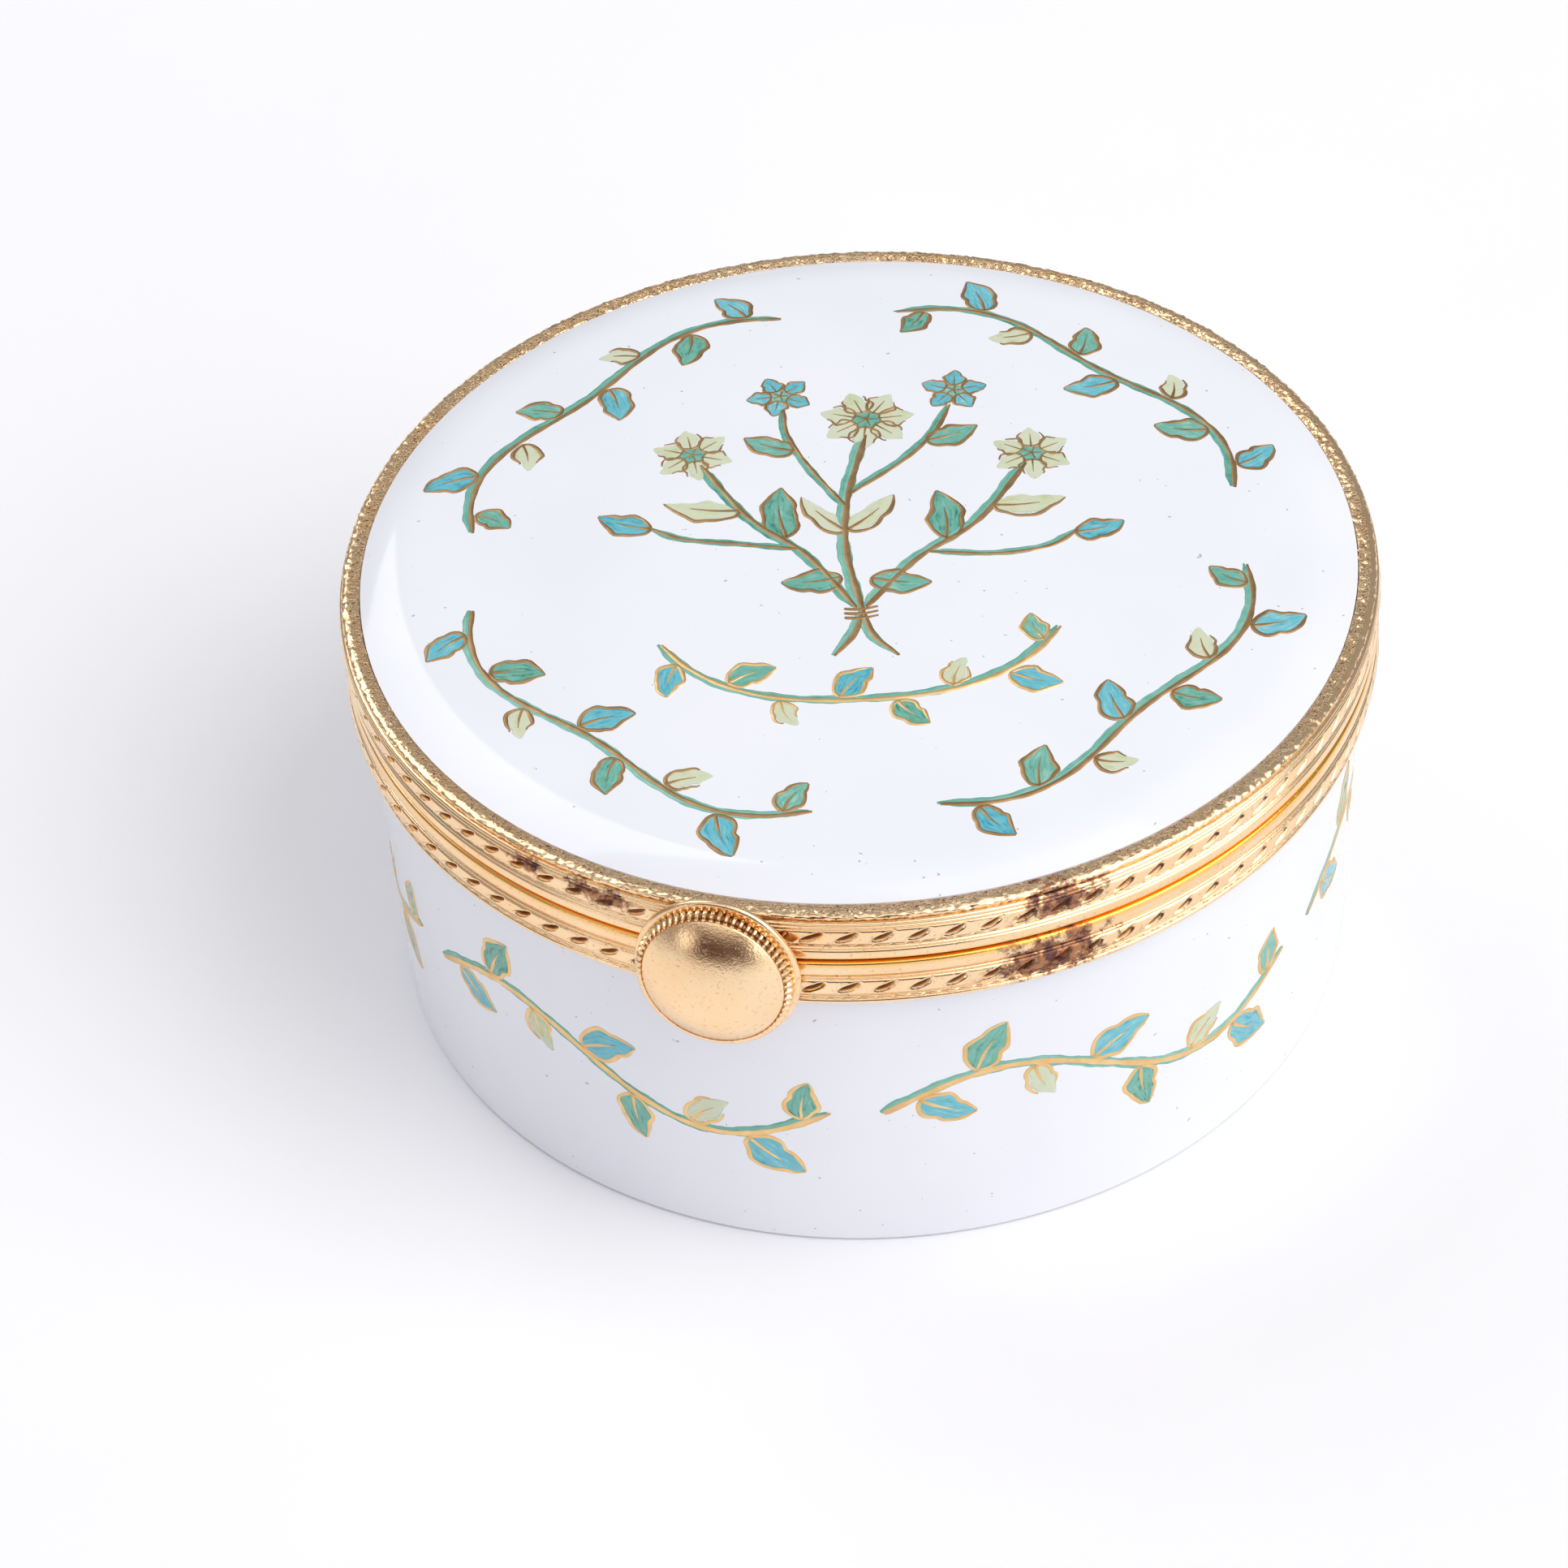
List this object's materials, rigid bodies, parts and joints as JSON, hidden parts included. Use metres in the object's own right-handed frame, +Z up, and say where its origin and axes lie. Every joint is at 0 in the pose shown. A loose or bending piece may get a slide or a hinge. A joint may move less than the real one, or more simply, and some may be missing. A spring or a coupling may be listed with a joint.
{
  "type": "hinged trinket box",
  "caption": "Round porcelain trinket box with a shallow domed lid, engraved gilt collars, a tube hinge at the back and a round snap button at the front.",
  "frame": {"origin": "centre of the foot, on the surface the box stands on", "axes": "+Z up, -Y towards the thumb button, +Y towards the hinge, +X to the right when the button faces the viewer"},
  "size_m": [0.063, 0.0691, 0.0298],
  "materials": {
    "porcelain": "gloss",
    "gilt_metal": "polished",
    "pin_brass": "satin",
    "cement": "matte",
    "gold_paint": "gloss",
    "enamel": "gloss"
  },
  "bodies": {
    "base": {"porcelain_base": "porcelain", "base_collar": "gilt_metal", "closing_lip": "gilt_metal", "base_cement": "cement", "base_hinge_bearer": "gilt_metal", "base_knuckle_left": "gilt_metal", "base_knuckle_centre": "gilt_metal", "base_knuckle_right": "gilt_metal", "hinge_pin": "pin_brass", "catch_pip": "gilt_metal"},
    "lid": {"porcelain_lid": "porcelain", "lid_collar": "gilt_metal", "lid_cement": "cement", "lid_hinge_bearer": "gilt_metal", "lid_knuckle_left": "gilt_metal", "lid_knuckle_right": "gilt_metal", "clasp_bracket": "gilt_metal", "clasp_backplate": "gilt_metal", "clasp_button": "gilt_metal", "clasp_tongue": "gilt_metal"}
  },
  "joints": [
    {"name": "lid_hinge", "type": "hinge", "parent": "base", "child": "lid", "pos_m": [0, 0.0328, 0.0247], "axis": [-1, 0, 0], "range_deg": [0, 105]}
  ]
}
